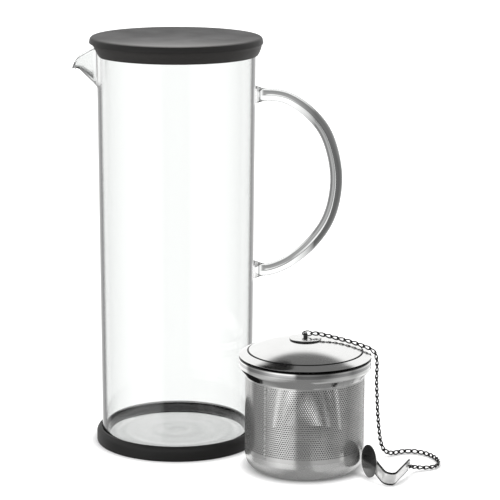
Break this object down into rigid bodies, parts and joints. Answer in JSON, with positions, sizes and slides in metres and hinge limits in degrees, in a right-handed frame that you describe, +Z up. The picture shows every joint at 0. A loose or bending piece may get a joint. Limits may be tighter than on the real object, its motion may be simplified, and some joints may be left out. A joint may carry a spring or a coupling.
{
  "type": "iced tea maker",
  "caption": "Tall glass jug with a spout, rod handle, silicone lid and base ring, beside a perforated steel tea infuser with a domed lid, a chain and a bent strip hook",
  "frame": {"origin": "on the table, in the middle of the jug and the infuser's box, measured without the chain and its hook", "axes": "+Z up, +X from the jug toward its handle and the infuser, the spout toward -X, -Y toward the side where the infuser stands"},
  "size_m": [0.2232, 0.1472, 0.2515],
  "materials": {
    "jug_glass": "clear, polished",
    "base_silicone": "matte near-black silicone",
    "lid_silicone": "matte charcoal silicone",
    "infuser_steel": "satin stainless sheet",
    "polished_steel": "polished stainless sheet",
    "wire_steel": "bright stainless wire",
    "hook_steel": "satin stainless strip"
  },
  "bodies": {
    "jug": {"base_ring": "base_silicone", "jug_body": "jug_glass", "jug_handle": "jug_glass"},
    "jug_cap": {"jug_lid": "lid_silicone"},
    "infuser": {"basket_floor": "infuser_steel", "basket_wall": "infuser_steel", "basket_collar": "infuser_steel"},
    "infuser_cover": {"infuser_lid": "polished_steel"},
    "chain": {"eye_plate": "polished_steel", "eye_staple": "polished_steel", "eye_ring": "wire_steel", "chain_link_01": "wire_steel", "chain_link_02": "wire_steel", "chain_link_03": "wire_steel", "chain_link_04": "wire_steel", "chain_link_05": "wire_steel", "chain_link_06": "wire_steel", "chain_link_07": "wire_steel", "chain_link_08": "wire_steel", "chain_link_09": "wire_steel", "chain_link_10": "wire_steel", "chain_link_11": "wire_steel", "chain_link_12": "wire_steel", "chain_link_13": "wire_steel", "chain_link_14": "wire_steel", "chain_link_15": "wire_steel", "chain_link_16": "wire_steel", "chain_link_17": "wire_steel", "chain_link_18": "wire_steel", "chain_link_19": "wire_steel", "chain_link_20": "wire_steel", "chain_link_21": "wire_steel", "chain_link_22": "wire_steel", "chain_link_23": "wire_steel", "chain_link_24": "wire_steel", "chain_link_25": "wire_steel", "chain_link_26": "wire_steel", "chain_link_27": "wire_steel", "chain_link_28": "wire_steel", "chain_link_29": "wire_steel", "chain_link_30": "wire_steel", "chain_link_31": "wire_steel", "chain_link_32": "wire_steel", "chain_link_33": "wire_steel", "chain_link_34": "wire_steel", "chain_link_35": "wire_steel", "chain_link_36": "wire_steel", "chain_link_37": "wire_steel", "chain_link_38": "wire_steel", "chain_link_39": "wire_steel", "chain_link_40": "wire_steel", "chain_link_41": "wire_steel", "chain_link_42": "wire_steel", "chain_link_43": "wire_steel", "chain_link_44": "wire_steel", "chain_link_45": "wire_steel"},
    "hook": {"hook_ring": "wire_steel", "hook_strip": "hook_steel", "hook_disc": "hook_steel"}
  },
  "joints": [
    {"name": "jug_lid_lift", "type": "slide", "parent": "jug", "child": "jug_cap", "axis": [0, 0, 1], "range_m": [0, 0.06]},
    {"name": "infuser_lift", "type": "slide", "parent": "jug", "child": "infuser", "axis": [0, 0, 1], "range_m": [0, 0.26]},
    {"name": "infuser_lid_lift", "type": "slide", "parent": "infuser", "child": "infuser_cover", "axis": [0, 0, 1], "range_m": [0, 0.03]},
    {"name": "chain_swivel", "type": "hinge", "parent": "infuser_cover", "child": "chain", "pos_m": [0.05065, -0.03376, 0.0796], "axis": [0, 0, 1], "range_deg": [-90, 60]},
    {"name": "hook_swing", "type": "hinge", "parent": "chain", "child": "hook", "pos_m": [0.11253, -0.05103, 0.00512], "axis": [0, 0, 1], "range_deg": [0, 60]}
  ]
}
